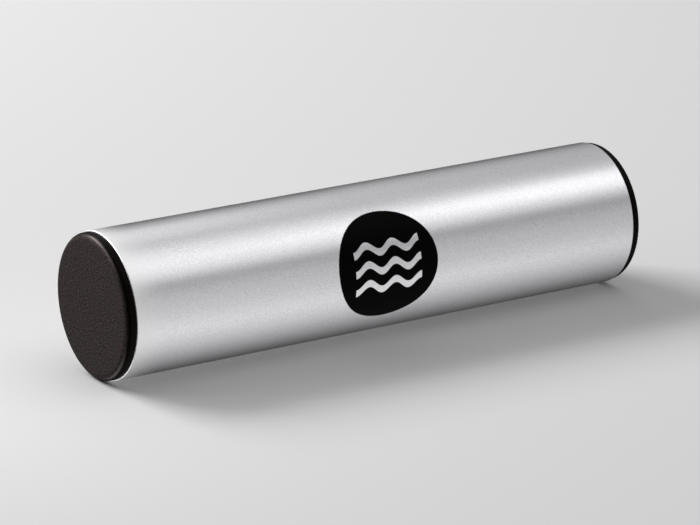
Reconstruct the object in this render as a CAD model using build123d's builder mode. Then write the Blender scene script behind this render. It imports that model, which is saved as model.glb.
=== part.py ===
from build123d import *

import math
import os

# A ganza: a length of aluminium tube, plugged at both ends by moulded rubber caps,
# with loose steel balls inside. It stands on its bottom cap with its axis along Z,
# and the origin is at the middle of that cap's face. All sizes are in millimetres.

# Tube
tube_diameter = 50.0
tube_wall = 1.5
tube_length = 197.5
tube_edge_break = 0.35

# End caps
head_step = 0.35
head_side = 1.2
head_edge_radius = 2.4
plug_length = 14.0
plug_wall = 2.2
plug_clearance = 0.45
lip_clearance = 0.03
lip_length = 2.4
lip_taper = 0.9

# Steel balls
ball_diameter = 6.0
ball_clearance = 0.3
ball_sides = 8
ball_rings = 3

# Heights and radii that the pieces share
tube_radius = tube_diameter / 2
bore_radius = tube_radius - tube_wall
head_thickness = head_side + head_edge_radius
tube_foot = head_thickness
middle_height = tube_foot + tube_length / 2

os.makedirs("parts", exist_ok=True)


# Tube: sawn from drawn stock, with its outer edges broken at both ends.
with BuildPart() as tube:
    with BuildSketch(Plane.XY.offset(tube_foot)):
        Circle(tube_radius)
        Circle(bore_radius, mode=Mode.SUBTRACT)
    extrude(amount=tube_length)
    outer_rims = tube.edges().filter_by(GeomType.CIRCLE).group_by(SortBy.RADIUS)[-1]
    chamfer(outer_rims, length=tube_edge_break)

tube.part.label = "tube"
export_step(tube.part, "parts/tube.step")


# Cap: a head with a rounded edge that closes the tube, and a hollow plug behind it.
# A lip round the plug's tip tapers to push in easily, and its square shoulder faces
# the head, so that the cap resists being pulled out.
head_radius = tube_radius - head_step
plug_radius = bore_radius - plug_clearance
plug_tip = tube_foot + plug_length
lip_radius = bore_radius - lip_clearance
lip_shoulder = plug_tip - lip_length
cup_radius = plug_radius - plug_wall

with BuildPart() as bottom_cap:
    with BuildSketch(Plane.XZ):
        with BuildLine():
            Polyline(
                (0, 0),
                (head_radius, 0),
                (head_radius, tube_foot),
                (plug_radius, tube_foot),
                (plug_radius, lip_shoulder),
                (lip_radius, lip_shoulder),
                (lip_radius - lip_taper, plug_tip),
                (cup_radius, plug_tip),
                (cup_radius, tube_foot),
                (0, tube_foot),
                close=True,
            )
        make_face()
    revolve(axis=Axis.Z)
    head_rim = bottom_cap.edges().filter_by(GeomType.CIRCLE).sort_by(Axis.Z)[0]
    fillet(head_rim, radius=head_edge_radius)

bottom_cap.part.label = "bottom_cap"
export_step(bottom_cap.part, "parts/bottom_cap.step")

with BuildPart() as top_cap:
    mirror(bottom_cap.part, about=Plane.XY.offset(middle_height))

top_cap.part.label = "top_cap"
export_step(top_cap.part, "parts/top_cap.step")


# Steel balls: one layer on the floor of the bottom cap's cup, set out as balls pack,
# in rows at 60 degrees to each other. Each has a clear lane of its own up the tube
# to the top cap. A ball is a many-sided solid with its corners on the true sphere.
ball_radius = ball_diameter / 2
ball_pitch = ball_diameter + ball_clearance
ball_height = tube_foot + ball_clearance + ball_radius
layer_radius = cup_radius - ball_clearance - ball_radius

ball_corners = [(0, 0, ball_radius), (0, 0, -ball_radius)]
for ring in range(ball_rings):
    polar = math.pi * (ring + 1) / (ball_rings + 1)
    for side in range(ball_sides):
        turn = 2 * math.pi * side / ball_sides
        ball_corners.append(
            (
                ball_radius * math.sin(polar) * math.cos(turn),
                ball_radius * math.sin(polar) * math.sin(turn),
                ball_radius * math.cos(polar),
            )
        )

rows_each_side = int(layer_radius // (ball_pitch * math.sin(math.pi / 3)))
lanes = []
for row in range(-rows_each_side, rows_each_side + 1):
    lane_y = row * ball_pitch * math.sin(math.pi / 3)
    row_shift = (row % 2) * ball_pitch / 2
    half_row = math.sqrt(layer_radius**2 - lane_y**2)
    first = math.ceil((-half_row - row_shift) / ball_pitch)
    last = math.floor((half_row - row_shift) / ball_pitch)
    lanes += [(column * ball_pitch + row_shift, lane_y) for column in range(first, last + 1)]

for number, (lane_x, lane_y) in enumerate(lanes, start=1):
    with BuildPart(Plane((lane_x, lane_y, ball_height))) as steel_ball:
        ConvexPolyhedron(ball_corners)
    steel_ball.part.label = f"steel_ball_{number:02d}"
    export_step(steel_ball.part, f"parts/{steel_ball.part.label}.step")
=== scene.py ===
import math

import bpy
from mathutils import Matrix, Vector


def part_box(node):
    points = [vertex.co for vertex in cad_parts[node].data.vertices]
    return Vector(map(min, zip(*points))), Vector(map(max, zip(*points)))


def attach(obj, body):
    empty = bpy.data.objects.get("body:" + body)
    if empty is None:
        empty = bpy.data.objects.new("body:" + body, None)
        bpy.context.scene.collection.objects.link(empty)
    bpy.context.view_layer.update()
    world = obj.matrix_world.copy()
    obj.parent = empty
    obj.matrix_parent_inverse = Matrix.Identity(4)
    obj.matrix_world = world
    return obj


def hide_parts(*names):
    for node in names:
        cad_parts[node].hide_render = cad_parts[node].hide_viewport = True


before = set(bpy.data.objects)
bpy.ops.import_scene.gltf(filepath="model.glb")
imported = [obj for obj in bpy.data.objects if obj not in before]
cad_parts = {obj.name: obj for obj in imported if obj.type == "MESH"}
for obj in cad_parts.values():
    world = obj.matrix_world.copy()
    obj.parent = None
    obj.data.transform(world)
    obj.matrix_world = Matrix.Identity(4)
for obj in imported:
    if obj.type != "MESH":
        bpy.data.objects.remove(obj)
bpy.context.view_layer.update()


# Tube: drawn aluminium tube of 50 mm with a 1.5 mm wall, sawn to length. Its outer
# edges are broken, the outside is fine bead-blasted and clear anodised, and a black
# disc that leaves three wavy lines of bare metal is screen-printed on it.
tube_radius = 0.025
tube_wall = 0.0015
edge_break = 0.00035
inner_break = 0.0001
tube_sides = 192
nearly = 1e-5
tube_low, tube_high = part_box("tube")
tube_foot, tube_head = tube_low.z, tube_high.z
middle_height = (tube_foot + tube_head) / 2

bpy.ops.object.select_all(action="DESELECT")
bpy.ops.mesh.primitive_cylinder_add(
    vertices=tube_sides,
    radius=tube_radius,
    depth=tube_head - tube_foot,
    end_fill_type="NOTHING",
    location=(0, 0, middle_height),
)
tube = bpy.context.object
tube.name = "aluminium_tube"
bpy.ops.object.transform_apply(location=True, rotation=True, scale=True)
wall = tube.modifiers.new("wall", "SOLIDIFY")
wall.thickness = tube_wall
wall.offset = -1
wall.use_even_offset = True
bpy.ops.object.modifier_apply(modifier=wall.name)


def select_edges(piece, chosen):
    """In edit mode, selects the edges of piece whose two ends both satisfy chosen(place)."""
    bpy.ops.mesh.select_mode(type="EDGE")
    bpy.ops.mesh.select_all(action="DESELECT")
    bpy.ops.object.mode_set(mode="OBJECT")
    places = [v.co for v in piece.data.vertices]
    for edge in piece.data.edges:
        edge.select = all(chosen(places[i]) for i in edge.vertices)
    bpy.ops.object.mode_set(mode="EDIT")


bpy.ops.object.mode_set(mode="EDIT")
select_edges(
    tube,
    lambda p: p.xy.length > tube_radius - nearly
    and min(p.z - tube_foot, tube_head - p.z) < nearly,
)
bpy.ops.mesh.bevel(offset=edge_break, offset_type="OFFSET", segments=3, profile=0.5)
select_edges(
    tube,
    lambda p: p.xy.length < tube_radius - tube_wall + nearly
    and min(p.z - tube_foot, tube_head - p.z) < nearly,
)
bpy.ops.mesh.bevel(offset=inner_break, offset_type="OFFSET", segments=1)
bpy.ops.object.mode_set(mode="OBJECT")
bpy.ops.object.shade_smooth_by_angle(angle=math.radians(50))
even_normals = tube.modifiers.new("even normals", "WEIGHTED_NORMAL")
even_normals.keep_sharp = True
bpy.ops.object.modifier_apply(modifier=even_normals.name)


def linear(hex_colour):
    """An sRGB hex colour as the linear colour that a shader takes."""
    parts = [int(hex_colour[i : i + 2], 16) / 255 for i in (1, 3, 5)]
    return [c / 12.92 if c <= 0.04045 else ((c + 0.055) / 1.055) ** 2.4 for c in parts] + [1.0]


def add_node(tree, kind, inputs={}, **settings):
    """Adds a node with its settings, and links or sets its inputs by name or number."""
    made = tree.nodes.new(kind)
    for name, value in settings.items():
        setattr(made, name, value)
    for name, value in inputs.items():
        if isinstance(value, bpy.types.NodeSocket):
            tree.links.new(value, made.inputs[name])
        else:
            made.inputs[name].default_value = value
    return made


# Bead-blasted anodised aluminium: the beads leave shallow dimples, so light and dark
# bands meet in a grainy edge and the highlight is speckled. Real dimples are too fine
# to show, so they are drawn about 0.5 mm apart.
dimples_per_metre = 1900.0
specks_per_metre = 2100.0
dimple_depth_bare = 0.000012
dimple_depth_smooth = 0.000003
blasted = bpy.data.materials.new("bead-blasted anodised aluminium, printed black")
blasted.use_nodes = True
tree = blasted.node_tree
tree.nodes.clear()
place = add_node(tree, "ShaderNodeTexCoord").outputs["Object"]
axes = add_node(tree, "ShaderNodeSeparateXYZ", {0: place})

# The printed disc, as a circle wrapped round the tube: distance is measured along the
# surface, round the tube from print_turn and up it from print_height. The ink creeps
# a little at the edge.
print_radius = 0.01956
print_turn = math.radians(-100.42)
print_height = 0.10486
ink_creep = 0.0002
creeps_per_metre = 1800.0
ink_blur = 0.00012
turn = add_node(
    tree, "ShaderNodeMath", {0: axes.outputs["Y"], 1: axes.outputs["X"]}, operation="ARCTAN2"
)
turn_off = add_node(
    tree, "ShaderNodeMath", {0: turn.outputs[0], 1: print_turn}, operation="SUBTRACT"
)
across = add_node(
    tree, "ShaderNodeMath", {0: turn_off.outputs[0], 1: tube_radius}, operation="MULTIPLY"
)
along = add_node(
    tree, "ShaderNodeMath", {0: axes.outputs["Z"], 1: print_height}, operation="SUBTRACT"
)
from_centre = add_node(
    tree, "ShaderNodeCombineXYZ", {"X": across.outputs[0], "Y": along.outputs[0]}
)
distance = add_node(
    tree, "ShaderNodeVectorMath", {0: from_centre.outputs[0]}, operation="LENGTH"
)
creep = add_node(
    tree, "ShaderNodeTexNoise", {"Vector": place, "Scale": creeps_per_metre, "Detail": 1.0}
)
ragged = add_node(
    tree, "ShaderNodeMath",
    {0: creep.outputs["Fac"], 1: ink_creep, 2: distance.outputs["Value"]},
    operation="MULTIPLY_ADD",
)
ragged_radius = print_radius + ink_creep / 2
disc = add_node(
    tree, "ShaderNodeMapRange",
    {
        "Value": ragged.outputs[0],
        "From Min": ragged_radius + ink_blur,
        "From Max": ragged_radius - ink_blur,
    },
    interpolation_type="SMOOTHSTEP",
)

# Three plain wavy lines are left unprinted across the disc's middle and show bare metal.
# They run along the tube, and end at a crest, where they are level.
wave_count = 3
wave_length = 0.0104
wave_height = 0.0014
wave_spacing = 0.0064
wave_width = 0.0025
wave_reach = 1.25 * wave_length
edge_blur = 0.00008
phase = add_node(
    tree, "ShaderNodeMath",
    {0: along.outputs[0], 1: 2 * math.pi / wave_length},
    operation="MULTIPLY",
)
swing = add_node(tree, "ShaderNodeMath", {0: phase.outputs[0]}, operation="SINE")
wavy = add_node(
    tree, "ShaderNodeMath",
    {0: swing.outputs[0], 1: wave_height, 2: across.outputs[0]},
    operation="MULTIPLY_ADD",
)
off_wave = add_node(
    tree, "ShaderNodeMath", {0: wavy.outputs[0], 1: wave_spacing / 2}, operation="PINGPONG"
)
wave = add_node(
    tree, "ShaderNodeMapRange",
    {
        "Value": off_wave.outputs[0],
        "From Min": wave_width / 2 + edge_blur,
        "From Max": wave_width / 2 - edge_blur,
    },
)
off_middle = add_node(tree, "ShaderNodeMath", {0: wavy.outputs[0]}, operation="ABSOLUTE")
few = add_node(
    tree, "ShaderNodeMath",
    {0: off_middle.outputs[0], 1: wave_count * wave_spacing / 2},
    operation="LESS_THAN",
)
off_centre = add_node(tree, "ShaderNodeMath", {0: along.outputs[0]}, operation="ABSOLUTE")
within_reach = add_node(
    tree, "ShaderNodeMapRange",
    {
        "Value": off_centre.outputs[0],
        "From Min": wave_reach + edge_blur,
        "From Max": wave_reach - edge_blur,
    },
)
few_waves = add_node(
    tree, "ShaderNodeMath", {0: wave.outputs[0], 1: few.outputs[0]}, operation="MULTIPLY"
)
bare = add_node(
    tree, "ShaderNodeMath",
    {0: few_waves.outputs[0], 1: within_reach.outputs[0]},
    operation="MULTIPLY",
)
inked = add_node(tree, "ShaderNodeMath", {0: 1.0, 1: bare.outputs[0]}, operation="SUBTRACT")
ink = add_node(
    tree, "ShaderNodeMath", {0: disc.outputs[0], 1: inked.outputs[0]}, operation="MULTIPLY"
)

# The ink fills the dimples, and the broken edges are cut after blasting, so both are smooth.
dimples = add_node(
    tree, "ShaderNodeTexNoise",
    {"Vector": place, "Scale": dimples_per_metre, "Detail": 1.5, "Roughness": 0.6},
)
from_middle = add_node(
    tree, "ShaderNodeMath", {0: axes.outputs["Z"], 1: middle_height}, operation="SUBTRACT"
)
how_far = add_node(tree, "ShaderNodeMath", {0: from_middle.outputs[0]}, operation="ABSOLUTE")
half_length = (tube_head - tube_foot) / 2
edge_start = half_length - 0.00045
edge_full = half_length - 0.0003
cut_edge = add_node(
    tree, "ShaderNodeMapRange",
    {"Value": how_far.outputs[0], "From Min": edge_start, "From Max": edge_full},
)
smooth = add_node(
    tree, "ShaderNodeMath", {0: ink.outputs[0], 1: cut_edge.outputs[0]}, operation="MAXIMUM"
)
dimple_depth = add_node(
    tree, "ShaderNodeMapRange",
    {"Value": smooth.outputs[0], "To Min": dimple_depth_bare, "To Max": dimple_depth_smooth},
)
blasted_normal = add_node(
    tree, "ShaderNodeBump",
    {"Strength": 1.0, "Distance": dimple_depth.outputs[0], "Height": dimples.outputs["Fac"]},
)
specks = add_node(
    tree, "ShaderNodeTexNoise", {"Vector": place, "Scale": specks_per_metre, "Detail": 1.0}
)
dark_specks = add_node(
    tree, "ShaderNodeMapRange", {"Value": specks.outputs["Fac"], "From Min": 0.35, "From Max": 0.7}
)

# The picture is brighter at the top end, so the metal is drawn rougher and paler there. This
# is strongest at the rim, and fades out over end_reach.
end_reach = 0.0145
end_gloss = 0.47
near_top = add_node(
    tree, "ShaderNodeMapRange",
    {"Value": axes.outputs["Z"], "From Min": tube_head - end_reach, "From Max": tube_head},
)
paler_top_end = add_node(
    tree, "ShaderNodeMath", {0: near_top.outputs[0], 1: 2.0}, operation="POWER"
)
metal_colour = add_node(
    tree, "ShaderNodeMix",
    {"Factor": dark_specks.outputs[0], "A": linear("#F6F6F9"), "B": linear("#E4E4E7")},
    data_type="RGBA",
)
blasted_colour = add_node(
    tree, "ShaderNodeMix",
    {"Factor": paler_top_end.outputs[0], "A": metal_colour.outputs["Result"], "B": linear("#FFFFFF")},
    data_type="RGBA",
)
colour = add_node(
    tree, "ShaderNodeMix",
    {"Factor": ink.outputs[0], "A": blasted_colour.outputs["Result"], "B": linear("#020202")},
    data_type="RGBA",
)
metalness = add_node(tree, "ShaderNodeMath", {0: 1.0, 1: ink.outputs[0]}, operation="SUBTRACT")

# Faint cloudy patches about 17 mm across, as handling leaves, are a little more or less glossy.
patches_per_metre = 60.0
handling = add_node(
    tree, "ShaderNodeTexNoise", {"Vector": place, "Scale": patches_per_metre, "Detail": 3.0}
)
metal_gloss = add_node(
    tree, "ShaderNodeMapRange", {"Value": handling.outputs["Fac"], "To Min": 0.25, "To Max": 0.31}
)
blasted_gloss = add_node(
    tree, "ShaderNodeMix",
    {"Factor": paler_top_end.outputs[0], "A": metal_gloss.outputs[0], "B": end_gloss},
)
gloss = add_node(
    tree, "ShaderNodeMix",
    {"Factor": ink.outputs[0], "A": blasted_gloss.outputs["Result"], "B": 0.42},
)
surface = add_node(
    tree, "ShaderNodeBsdfPrincipled",
    {
        "Base Color": colour.outputs["Result"],
        "Metallic": metalness.outputs[0],
        "Roughness": gloss.outputs["Result"],
        "Specular IOR Level": 0.03,
        "Normal": blasted_normal.outputs[0],
    },
)
add_node(tree, "ShaderNodeOutputMaterial", {"Surface": surface.outputs[0]})
tube.data.materials.append(blasted)
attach(tube, "shell")
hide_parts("tube")


# End caps: moulded black rubber. Each has a head with a rounded edge that closes the
# tube, and a hollow plug with a barbed lip that is pushed into the bore and held by
# its own squeeze. The mould's face is finely textured and its sides are smooth.
head_radius = 0.02465
head_edge_radius = 0.0024
plug_radius = 0.02305
plug_tip = tube_foot + 0.014
lip_radius = 0.02347
lip_taper = 0.0009
lip_shoulder = plug_tip - 0.0024
cup_radius = 0.02085
cap_sides = 160
centre_radius = 0.004
middle_radius = 0.012
outer_radius = 0.0195
head_ease = 0.00018
lip_ease = 0.00012
tip_ease = 0.0003

bpy.ops.object.select_all(action="DESELECT")
bpy.ops.mesh.primitive_circle_add(
    vertices=cap_sides, radius=centre_radius, fill_type="NOTHING", location=(0, 0, tube_foot)
)
bottom_cap = bpy.context.object
bottom_cap.name = "bottom_rubber_cap"
bpy.ops.object.transform_apply(location=True, rotation=True, scale=True)
bpy.ops.object.mode_set(mode="EDIT")
bpy.ops.mesh.select_all(action="SELECT")
ring_radius, ring_height = centre_radius, tube_foot
for next_radius, next_height in [
    (middle_radius, tube_foot),
    (cup_radius, tube_foot),
    (cup_radius, plug_tip),
    (lip_radius - lip_taper, plug_tip),
    (lip_radius, lip_shoulder),
    (plug_radius, lip_shoulder),
    (plug_radius, tube_foot),
    (head_radius, tube_foot),
    (head_radius, 0.0),
    (outer_radius, 0.0),
    (middle_radius, 0.0),
    (centre_radius, 0.0),
]:
    bpy.ops.mesh.extrude_region_move(
        TRANSFORM_OT_translate={"value": (0, 0, next_height - ring_height)}
    )
    if next_radius != ring_radius:
        widen = next_radius / ring_radius
        bpy.ops.transform.resize(value=(widen, widen, 1), center_override=(0, 0, next_height))
    ring_radius, ring_height = next_radius, next_height
for centre_height in (tube_foot, 0.0):
    select_edges(
        bottom_cap,
        lambda p: p.xy.length < centre_radius + nearly and abs(p.z - centre_height) < nearly,
    )
    bpy.ops.mesh.edge_face_add()
    bpy.ops.mesh.poke()
bpy.ops.mesh.select_all(action="SELECT")
bpy.ops.mesh.remove_doubles(threshold=1e-6)
bpy.ops.mesh.normals_make_consistent(inside=False)
select_edges(bottom_cap, lambda p: abs(p.xy.length - head_radius) < nearly and p.z < nearly)
bpy.ops.mesh.bevel(offset=head_edge_radius, offset_type="OFFSET", segments=14, profile=0.5)
select_edges(
    bottom_cap,
    lambda p: abs(p.xy.length - head_radius) < nearly and abs(p.z - tube_foot) < nearly,
)
bpy.ops.mesh.bevel(offset=head_ease, offset_type="OFFSET", segments=3, profile=0.5)
select_edges(
    bottom_cap,
    lambda p: abs(p.xy.length - lip_radius) < nearly and abs(p.z - lip_shoulder) < nearly,
)
bpy.ops.mesh.bevel(offset=lip_ease, offset_type="OFFSET", segments=2, profile=0.5)
select_edges(bottom_cap, lambda p: abs(p.z - plug_tip) < nearly)
bpy.ops.mesh.bevel(offset=tip_ease, offset_type="OFFSET", segments=2, profile=0.5)
bpy.ops.object.mode_set(mode="OBJECT")
bpy.ops.object.shade_smooth_by_angle(angle=math.radians(35))
even_normals = bottom_cap.modifiers.new("even normals", "WEIGHTED_NORMAL")
even_normals.keep_sharp = True

# Moulded black rubber: the spark-eroded mould gives the face a fine grain, which scatters
# light to a warm dark grey and takes off the gloss. It fades out round the head's edge,
# and the smooth sides stay near black. The near black that reaches in over the rounded
# edge is partly painted shade. The grain is drawn about 0.5 mm apart to show.
grain_per_metre = 1900.0
grain_height = 0.00007
grain_fade = 0.0011
rubber = bpy.data.materials.new("moulded black rubber")
rubber.use_nodes = True
tree = rubber.node_tree
tree.nodes.clear()
place = add_node(tree, "ShaderNodeTexCoord").outputs["Object"]
axes = add_node(tree, "ShaderNodeSeparateXYZ", {0: place})
from_middle = add_node(
    tree, "ShaderNodeMath", {0: axes.outputs["Z"], 1: middle_height}, operation="SUBTRACT"
)
how_far = add_node(tree, "ShaderNodeMath", {0: from_middle.outputs[0]}, operation="ABSOLUTE")
textured_face_and_edge_shade = add_node(
    tree, "ShaderNodeMapRange",
    {"Value": how_far.outputs[0], "From Min": middle_height - grain_fade, "From Max": middle_height},
    interpolation_type="SMOOTHSTEP",
)
grain = add_node(
    tree, "ShaderNodeTexNoise", {"Vector": place, "Scale": grain_per_metre, "Detail": 1.0}
)
grain_depth = add_node(
    tree, "ShaderNodeMath", {0: textured_face_and_edge_shade.outputs[0], 1: grain_height}, operation="MULTIPLY"
)
grain_normal = add_node(
    tree, "ShaderNodeBump",
    {"Strength": 1.0, "Distance": grain_depth.outputs[0], "Height": grain.outputs["Fac"]},
)
grain_light = add_node(
    tree, "ShaderNodeMapRange", {"Value": grain.outputs["Fac"], "From Min": 0.35, "From Max": 0.68}
)
face_colour = add_node(
    tree, "ShaderNodeMix",
    {"Factor": grain_light.outputs[0], "A": linear("#1A1616"), "B": linear("#4B4342")},
    data_type="RGBA",
)
# The rounded edge and side fade to near black, partly as painted shade.
colour = add_node(
    tree, "ShaderNodeMix",
    {"Factor": textured_face_and_edge_shade.outputs[0], "A": linear("#060403"), "B": face_colour.outputs["Result"]},
    data_type="RGBA",
)
gloss = add_node(
    tree, "ShaderNodeMapRange",
    {"Value": textured_face_and_edge_shade.outputs[0], "From Min": 0.6, "From Max": 1.0, "To Min": 0.36, "To Max": 0.9},
)

# The rounded edge and the face are drawn with a little more shine than the dull side.
shine = add_node(
    tree, "ShaderNodeMapRange",
    {"Value": textured_face_and_edge_shade.outputs[0], "From Max": 0.15, "To Min": 0.05, "To Max": 0.22},
)
surface = add_node(
    tree, "ShaderNodeBsdfPrincipled",
    {
        "Base Color": colour.outputs["Result"],
        "Roughness": gloss.outputs[0],
        "Specular IOR Level": shine.outputs[0],
        "Specular Tint": linear("#FFE6E0"),
        "Normal": grain_normal.outputs[0],
    },
)
add_node(tree, "ShaderNodeOutputMaterial", {"Surface": surface.outputs[0]})
bottom_cap.data.materials.append(rubber)

bpy.ops.object.select_all(action="DESELECT")
bottom_cap.select_set(True)
bpy.context.view_layer.objects.active = bottom_cap
bpy.ops.object.duplicate(linked=False)
top_cap = bpy.context.object
top_cap.name = "top_rubber_cap"
bpy.ops.object.mode_set(mode="EDIT")
bpy.ops.mesh.select_all(action="SELECT")
bpy.ops.transform.resize(value=(1, 1, -1), center_override=(0, 0, middle_height))
bpy.ops.mesh.normals_make_consistent(inside=False)
bpy.ops.object.mode_set(mode="OBJECT")
for cap, node in ((bottom_cap, "bottom_cap"), (top_cap, "top_cap")):
    bpy.context.view_layer.objects.active = cap
    bpy.ops.object.modifier_apply(modifier="even normals")
    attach(cap, "shell")
    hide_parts(node)


# Steel balls: 31 loose balls of 6 mm in one layer on the bottom cap's floor. They are
# cold-headed wire, ground and tumbled bright, and fly up the tube when it is shaken.
ball_radius = 0.003
ball_nodes = sorted(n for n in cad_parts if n.startswith("steel_ball_"))

bpy.ops.object.select_all(action="DESELECT")
bpy.ops.mesh.primitive_cube_add(size=2 * ball_radius / math.sqrt(3), location=(0, 0, 0))
ball_pattern = bpy.context.object
bpy.ops.object.mode_set(mode="EDIT")
bpy.ops.mesh.select_all(action="SELECT")
bpy.ops.mesh.subdivide(number_cuts=7)
bpy.ops.transform.tosphere(value=1.0)
bpy.ops.object.mode_set(mode="OBJECT")
round_radius = ball_pattern.data.vertices[0].co.length
ball_pattern.scale = [ball_radius / round_radius] * 3
bpy.ops.object.transform_apply(location=True, rotation=True, scale=True)
bpy.ops.object.shade_smooth()

# Bright tumbled steel: a near mirror with a haze of fine tumbling marks. They are drawn
# about 0.5 mm apart so that they show.
marks_per_metre = 2200.0
mark_depth = 0.000002
steel = bpy.data.materials.new("bright tumbled steel")
steel.use_nodes = True
tree = steel.node_tree
tree.nodes.clear()
place = add_node(tree, "ShaderNodeTexCoord").outputs["Object"]
marks = add_node(
    tree, "ShaderNodeTexNoise", {"Vector": place, "Scale": marks_per_metre, "Detail": 3.0}
)
mark_normal = add_node(
    tree, "ShaderNodeBump", {"Strength": 1.0, "Distance": mark_depth, "Height": marks.outputs["Fac"]}
)
colour = add_node(
    tree, "ShaderNodeMix",
    {"Factor": marks.outputs["Fac"], "A": linear("#BFC0C2"), "B": linear("#D0D1D2")},
    data_type="RGBA",
)
gloss = add_node(
    tree, "ShaderNodeMapRange", {"Value": marks.outputs["Fac"], "To Min": 0.12, "To Max": 0.24}
)
surface = add_node(
    tree, "ShaderNodeBsdfPrincipled",
    {
        "Base Color": colour.outputs["Result"],
        "Metallic": 1.0,
        "Roughness": gloss.outputs[0],
        "Normal": mark_normal.outputs[0],
    },
)
add_node(tree, "ShaderNodeOutputMaterial", {"Surface": surface.outputs[0]})
ball_pattern.data.materials.append(steel)

for node in ball_nodes:
    low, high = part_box(node)
    bpy.ops.object.select_all(action="DESELECT")
    ball_pattern.select_set(True)
    bpy.context.view_layer.objects.active = ball_pattern
    bpy.ops.object.duplicate(linked=False)
    ball = bpy.context.object
    ball.name = node.replace("steel_ball", "bright_ball")
    ball.location = (low + high) / 2
    bpy.ops.object.transform_apply(location=True, rotation=True, scale=True)
    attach(ball, node)
    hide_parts(node)
bpy.data.objects.remove(ball_pattern)


# Studio: the shaker lies on a pale table, as in the picture, so the table runs along
# the tube's side. studio turns places given on that table into the part's own frame:
# X along the tube from the top cap, Y away from the camera, Z up off the table.
lean = math.radians(70)
along_tube = Vector((0, 0, -1))
table_up = Vector((math.sin(lean), -math.cos(lean), 0))
away = table_up.cross(along_tube)
studio = Matrix.Translation(Vector((0, 0, middle_height)) - tube_radius * table_up) @ Matrix(
    (along_tube, away, table_up)
).transposed().to_4x4()

# The table is pale paper. Only the camera sees it: the lower half of the world stands for
# its light on the tube, and from behind it is clear.
table_size = 8.0
bpy.ops.object.select_all(action="DESELECT")
bpy.ops.mesh.primitive_plane_add(size=table_size)
table = bpy.context.object
table.name = "table"
table.matrix_world = studio
bpy.ops.object.transform_apply(location=True, rotation=True, scale=True)
paper = bpy.data.materials.new("pale paper")
paper.use_nodes = True
tree = paper.node_tree
tree.nodes.clear()
behind = add_node(tree, "ShaderNodeNewGeometry").outputs["Backfacing"]
front = add_node(tree, "ShaderNodeBsdfDiffuse", {"Color": linear("#D4D4D4")})
back = add_node(tree, "ShaderNodeBsdfTransparent")
sided = add_node(tree, "ShaderNodeMixShader", {0: behind, 1: front.outputs[0], 2: back.outputs[0]})
add_node(tree, "ShaderNodeOutputMaterial", {"Surface": sided.outputs[0]})
table.data.materials.append(paper)
table.visible_diffuse = False
table.visible_glossy = False
table.visible_transmission = False
table.visible_shadow = False


def softbox(name, place, target, width, height, watts):
    """A rectangular lamp that stands at place on the table's axes and faces target."""
    bpy.ops.object.light_add(type="AREA")
    lamp = bpy.context.object
    lamp.name = name
    lamp.data.shape = "RECTANGLE"
    lamp.data.size = width
    lamp.data.size_y = height
    lamp.data.energy = watts
    facing = (Vector(target) - Vector(place)).to_track_quat("-Z", "Y").to_matrix().to_4x4()
    lamp.matrix_world = studio @ Matrix.Translation(place) @ facing
    lamp.visible_camera = False


# A large softbox high behind the near end is the main light. Two small lamps close to that
# end light the cap's face, and the rim from below, where the table casts no shadow. Two weak
# strips lift the tube's bands.
near_cap = (-0.1, 0.0, tube_radius)
far_half = (0.05, 0.0, tube_radius)
softbox("front strip", (0.7, -0.3, 0.81), far_half, 0.4, 0.4, 0.23)
softbox("rear strip", (0.05, 0.57, 0.76), far_half, 0.8, 0.6, 0.5)
softbox("near end softbox", (-0.9, 1.54, 1.4), near_cap, 1.2, 0.9, 48.0)
softbox("low end lamp", (-0.21, 0.06, -0.19), near_cap, 0.19, 0.14, 0.17)
softbox("cap face lamp", (-0.2, 0.02, 0.125), near_cap, 0.05, 0.05, 0.045)

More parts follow.
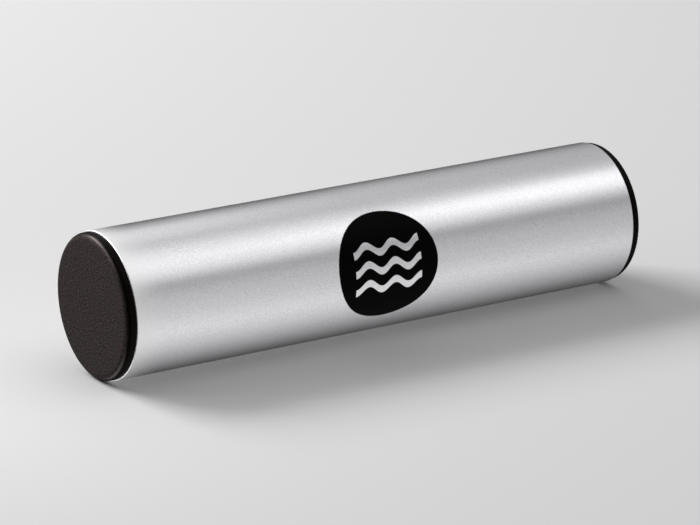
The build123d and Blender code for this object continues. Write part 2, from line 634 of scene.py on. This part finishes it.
# The room is shaded by the angle round the tube, in degrees up from level in front, with
# minus for below: pale in front, white overhead, grey behind and dark low at the back.
world = bpy.data.worlds.new("pale studio")
bpy.context.scene.world = world
world.use_nodes = True
tree = world.node_tree
tree.nodes.clear()
aim = add_node(tree, "ShaderNodeTexCoord").outputs["Generated"]
high = add_node(tree, "ShaderNodeVectorMath", {0: aim, 1: table_up}, operation="DOT_PRODUCT")
near = add_node(tree, "ShaderNodeVectorMath", {0: aim, 1: -away}, operation="DOT_PRODUCT")
round_tube = add_node(
    tree, "ShaderNodeMath", {0: high.outputs["Value"], 1: near.outputs["Value"]}, operation="ARCTAN2"
)
whole_turn = add_node(
    tree, "ShaderNodeMapRange", {"Value": round_tube.outputs[0], "From Min": -math.pi, "From Max": math.pi}
)
surround = add_node(tree, "ShaderNodeValToRGB", {"Fac": whole_turn.outputs[0]})
walls = [
    (-180, "#303030"), (-160, "#101010"), (-135, "#383838"), (-111, "#727272"), (-87, "#A4A4A4"),
    (-63, "#CFCFCF"), (-39, "#EAEAEA"), (-15, "#D2D2D2"), (20, "#BCBCBC"), (33, "#8A8A8A"),
    (44, "#E2E2E2"), (53, "#F8F8F8"), (80, "#F8F8F8"), (105, "#C0C0C0"), (141, "#BCBCBC"),
    (165, "#929292"), (172, "#585858"), (180, "#303030"),
]
while len(surround.color_ramp.elements) < len(walls):
    surround.color_ramp.elements.new(0.5)
for stop, (angle, shade) in zip(surround.color_ramp.elements, walls):
    stop.position = (angle + 180) / 360
    stop.color = linear(shade)

# Past the near end the room is dim, so that the black cap stays dark. Towards the far end
# it falls off slowly, and the tube's far half with it.
far_end = add_node(
    tree, "ShaderNodeVectorMath", {0: aim, 1: along_tube}, operation="DOT_PRODUCT"
)
dim = add_node(
    tree, "ShaderNodeMapRange",
    {
        "Value": far_end.outputs["Value"],
        "From Min": -0.4,
        "From Max": 0.05,
        "To Min": 0.08,
        "To Max": 1.0,
    },
    interpolation_type="SMOOTHSTEP",
)
falling = add_node(
    tree, "ShaderNodeMapRange",
    {
        "Value": far_end.outputs["Value"],
        "From Min": 0.32,
        "From Max": 0.8,
        "To Min": 1.23,
        "To Max": 0.55,
    },
)
strength = add_node(
    tree, "ShaderNodeMath", {0: dim.outputs[0], 1: falling.outputs[0]}, operation="MULTIPLY"
)
sky = add_node(
    tree, "ShaderNodeBackground",
    {"Color": surround.outputs["Color"], "Strength": strength.outputs[0]},
)
add_node(tree, "ShaderNodeOutputWorld", {"Surface": sky.outputs[0]})

# The camera stands in front of the tube and past its near end, and looks down on it.
camera_data = bpy.data.cameras.new("camera")
camera_data.lens = 185.14
camera_data.sensor_width = 36.0
camera_data.clip_start = 0.01
camera_data.clip_end = 100.0
camera = bpy.data.objects.new("camera", camera_data)
bpy.context.scene.collection.objects.link(camera)
camera_place = Vector((-0.623833, -0.986946, 0.396307))
right = Vector((0.846230, -0.532818, 0.0))
up = Vector((0.162238, 0.257668, 0.952515))
backward = right.cross(up)
camera.matrix_world = studio @ Matrix.Translation(camera_place) @ Matrix(
    (right, up, backward)
).transposed().to_4x4()
bpy.context.scene.camera = camera

bpy.context.scene.view_settings.view_transform = "Standard"
